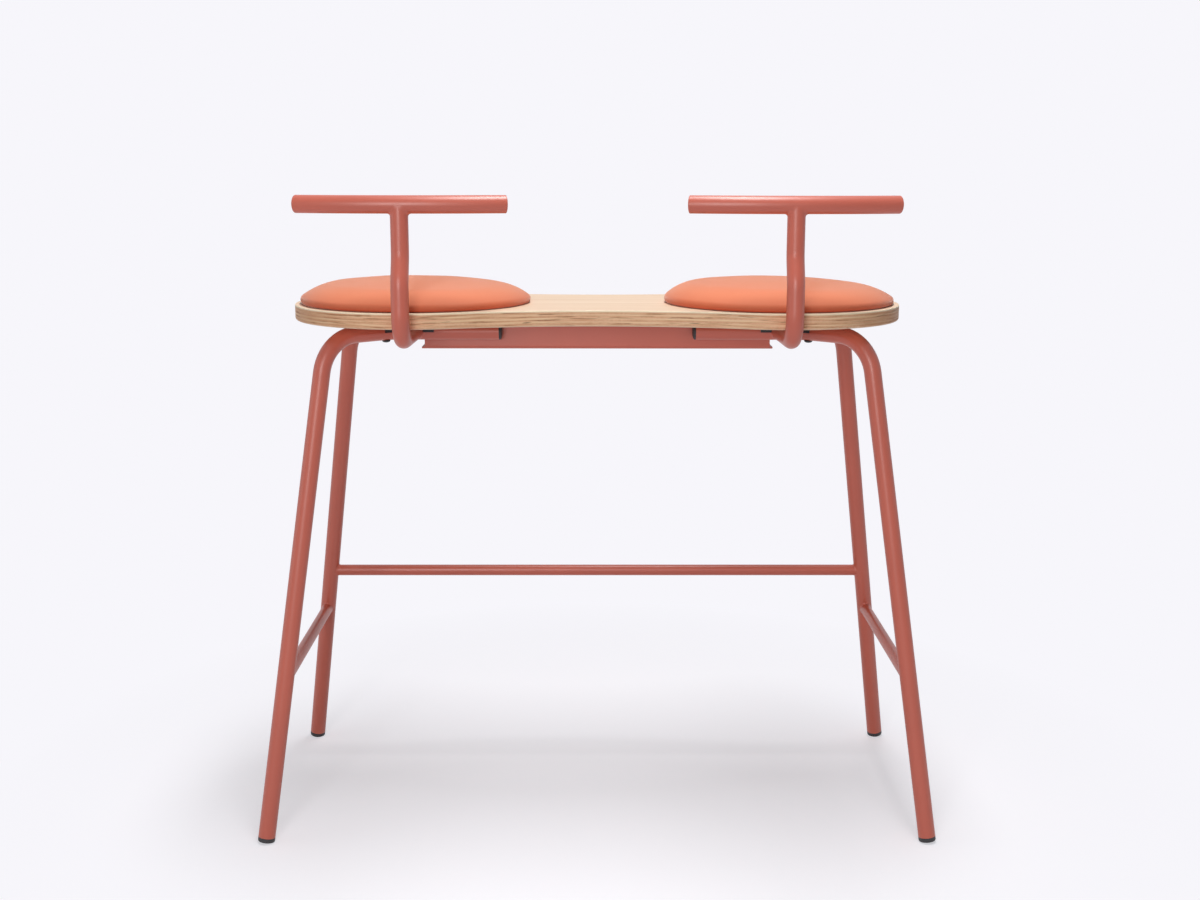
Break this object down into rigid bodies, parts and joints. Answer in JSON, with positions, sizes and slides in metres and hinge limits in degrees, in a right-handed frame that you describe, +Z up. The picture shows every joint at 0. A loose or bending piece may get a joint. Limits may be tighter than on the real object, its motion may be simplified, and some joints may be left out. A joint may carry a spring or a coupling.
{
  "type": "bar bench",
  "caption": "Bar-height bench for side-by-side sitters: bent steel tube legs, waisted plywood seat, round cushions and short curved back bars on posts.",
  "frame": {"origin": "floor level, in the middle of the bench's footprint", "axes": "+Z up; +X along the bench, from the left seat place to the right one as seen from behind; +Y the way the sitters face, so the back bars are at -Y"},
  "size_m": [1.002, 0.4412, 0.9417],
  "materials": {
    "painted_steel": "satin powder coat, terracotta",
    "plywood": "clear matt lacquer on pale plywood",
    "cushion_fabric": "smooth matt upholstery, coral orange",
    "black_plastic": "moulded, fine texture",
    "black_steel": "black coated",
    "insert_brass": "turned",
    "screw_steel": "zinc plated"
  },
  "bodies": {
    "root": {"seat_board": "plywood", "cushion_left": "cushion_fabric", "cushion_right": "cushion_fabric", "cushion_board_left": "plywood", "cushion_board_right": "plywood", "leg_back_left": "painted_steel", "leg_back_right": "painted_steel", "leg_front_left": "painted_steel", "leg_front_right": "painted_steel", "glide_back_left": "black_plastic", "glide_back_right": "black_plastic", "glide_front_left": "black_plastic", "glide_front_right": "black_plastic", "side_stretcher_left": "painted_steel", "side_stretcher_right": "painted_steel", "footrest_stretcher": "painted_steel", "back_post_left": "painted_steel", "back_post_right": "painted_steel", "back_bar_left": "painted_steel", "back_bar_right": "painted_steel", "bar_end_caps": "painted_steel", "spine_channel": "painted_steel", "rail_end_plugs": "black_plastic", "tube_saddles": "black_plastic", "frame_bolts": "black_steel", "bolt_inserts": "insert_brass", "spine_screws": "screw_steel", "cushion_screws": "screw_steel"}
  },
  "joints": []
}
